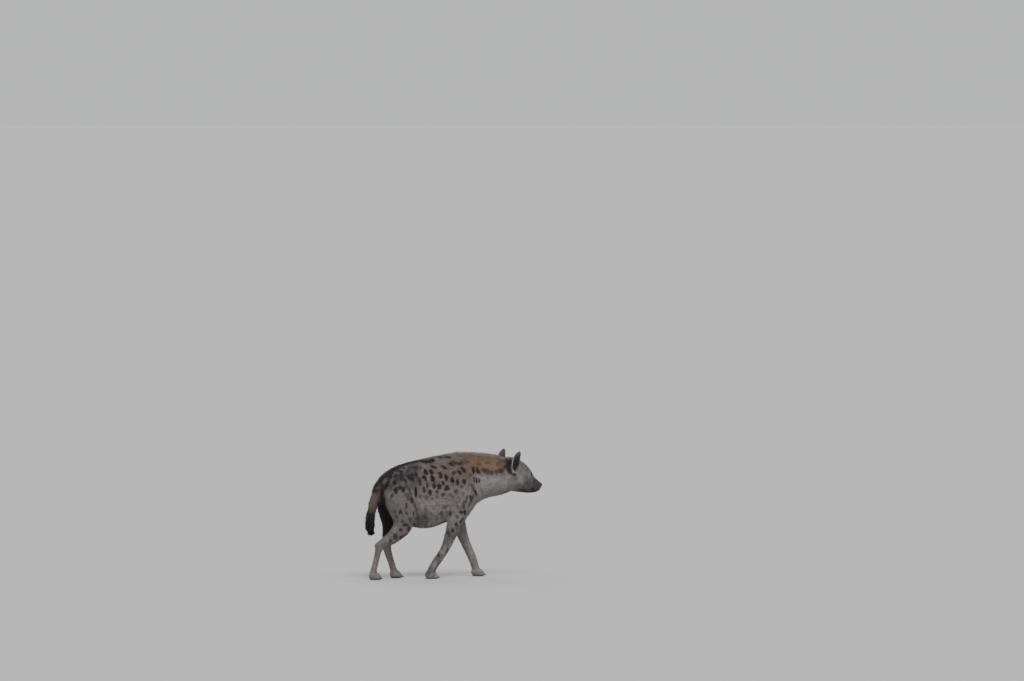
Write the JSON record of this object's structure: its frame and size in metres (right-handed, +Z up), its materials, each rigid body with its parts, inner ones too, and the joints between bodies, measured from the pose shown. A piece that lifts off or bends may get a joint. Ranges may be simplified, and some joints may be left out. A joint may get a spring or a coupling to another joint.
{
  "type": "spotted hyena model",
  "caption": "Life-size still model of a walking spotted hyena, head low and turned a little, standing on four flat soles.",
  "frame": {"origin": "on the floor under the middle of the animal's box", "axes": "+X the way the trunk walks, +Y the animal's left, +Z up"},
  "size_m": [1.2062, 0.2978, 0.7931],
  "materials": {
    "coat": "short coarse fur with dark spots",
    "dark_coat": "dark brown to black fur",
    "eye_gloss": "wet gloss",
    "nose_skin": "moist pebbled skin",
    "claw_horn": "dull worn horn"
  },
  "bodies": {
    "root": {"trunk": "coat", "neck": "coat", "head": "coat", "tail": "coat", "upper_arm_right": "coat", "forearm_right": "coat", "fore_paw_right": "coat", "thigh_right": "coat", "shank_right": "coat", "hind_paw_right": "coat", "upper_arm_left": "coat", "forearm_left": "coat", "fore_paw_left": "coat", "thigh_left": "coat", "shank_left": "coat", "hind_paw_left": "coat", "ear_right": "dark_coat", "ear_left": "dark_coat", "tail_tuft": "dark_coat", "eye_right": "eye_gloss", "eye_left": "eye_gloss", "nose": "nose_skin", "claw_fore_right_1": "claw_horn", "claw_fore_right_2": "claw_horn", "claw_fore_right_3": "claw_horn", "claw_fore_right_4": "claw_horn", "claw_fore_left_1": "claw_horn", "claw_fore_left_2": "claw_horn", "claw_fore_left_3": "claw_horn", "claw_fore_left_4": "claw_horn", "claw_hind_right_1": "claw_horn", "claw_hind_right_2": "claw_horn", "claw_hind_right_3": "claw_horn", "claw_hind_right_4": "claw_horn", "claw_hind_left_1": "claw_horn", "claw_hind_left_2": "claw_horn", "claw_hind_left_3": "claw_horn", "claw_hind_left_4": "claw_horn"}
  },
  "joints": []
}
